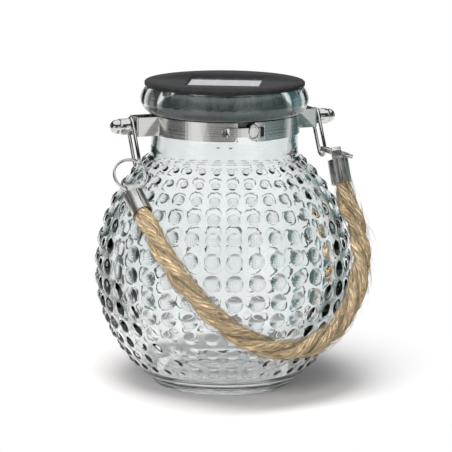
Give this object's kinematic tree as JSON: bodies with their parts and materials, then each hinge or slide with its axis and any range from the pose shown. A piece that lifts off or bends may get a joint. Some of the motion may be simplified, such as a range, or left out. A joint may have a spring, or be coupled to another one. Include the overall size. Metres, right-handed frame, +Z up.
{
  "type": "jar lantern",
  "caption": "Hobnail glass jar lantern with a solar lid that lifts out and a rope handle hung from a neck band by links and split rings.",
  "frame": {"origin": "centre of the jar's foot, on the surface that it stands on", "axes": "+Z up the jar's axis; X along the handle's pivots; -Y is the front, where the neck band closes"},
  "size_m": [0.1392, 0.146, 0.1638],
  "materials": {
    "clear_glass": "clear, faint green-grey tint",
    "brushed_strip": "fine brushed",
    "polished_steel": "polished",
    "jute": "rough, hairy",
    "dark_plastic": "matte",
    "solar_cells": "gloss",
    "silicone": "matte",
    "board_laminate": "satin",
    "clear_resin": "gloss",
    "cell_sleeve": "gloss",
    "spring_brass": "plain"
  },
  "bodies": {
    "jar": {"glass_jar": "clear_glass", "neck_band": "brushed_strip", "pivot_screw_left": "polished_steel", "pivot_screw_right": "polished_steel", "cap_nut_left": "polished_steel", "cap_nut_right": "polished_steel"},
    "link_left": {"wire_link_left": "polished_steel"},
    "link_right": {"wire_link_right": "polished_steel"},
    "ring_left": {"split_ring_left": "polished_steel"},
    "ring_right": {"split_ring_right": "polished_steel"},
    "rope_handle": {"rope": "jute", "rope_ferrule_left": "polished_steel", "rope_ferrule_right": "polished_steel"},
    "lid": {"lid_plate": "dark_plastic", "solar_panel": "solar_cells", "lid_seal": "silicone", "plug_housing": "dark_plastic", "circuit_board": "board_laminate", "led_lamp": "clear_resin", "switch_body": "dark_plastic", "battery": "cell_sleeve", "battery_contact_left": "spring_brass", "battery_contact_right": "spring_brass", "battery_door": "dark_plastic", "housing_screw_left": "polished_steel", "housing_screw_right": "polished_steel"},
    "switch_knob": {"switch_slider": "dark_plastic"}
  },
  "joints": [
    {"name": "link_left_swing", "type": "hinge", "parent": "jar", "child": "link_left", "pos_m": [-0.0534, 0, 0.14197], "axis": [-1, 0, 0], "range_deg": [0, 220]},
    {"name": "link_right_swing", "type": "hinge", "parent": "jar", "child": "link_right", "pos_m": [0.0534, 0, 0.14197], "axis": [-1, 0, 0], "range_deg": [0, 220]},
    {"name": "ring_left_swing", "type": "hinge", "parent": "link_left", "child": "ring_left", "pos_m": [-0.0534, -0.00996, 0.12463], "axis": [-1, 0, 0], "range_deg": [0, 15]},
    {"name": "ring_right_swing", "type": "hinge", "parent": "link_right", "child": "ring_right", "pos_m": [0.0534, -0.01061, 0.12582], "axis": [-1, 0, 0], "range_deg": [0, 15]},
    {"name": "rope_swing", "type": "hinge", "parent": "ring_left", "child": "rope_handle", "pos_m": [-0.05983, -0.01916, 0.11127], "axis": [-0.9905, 0.063, -0.1221], "range_deg": [0, 8]},
    {"name": "lid_lift", "type": "slide", "parent": "jar", "child": "lid", "axis": [0, 0, 1], "range_m": [0, 0.06]},
    {"name": "switch_slide", "type": "slide", "parent": "lid", "child": "switch_knob", "axis": [0.891, -0.454, 0], "range_m": [0, 0.003]}
  ],
  "couplings": [
    {"joint": "link_right_swing", "follows": "link_left_swing", "ratio": 1},
    {"joint": "ring_right_swing", "follows": "ring_left_swing", "ratio": 1}
  ]
}
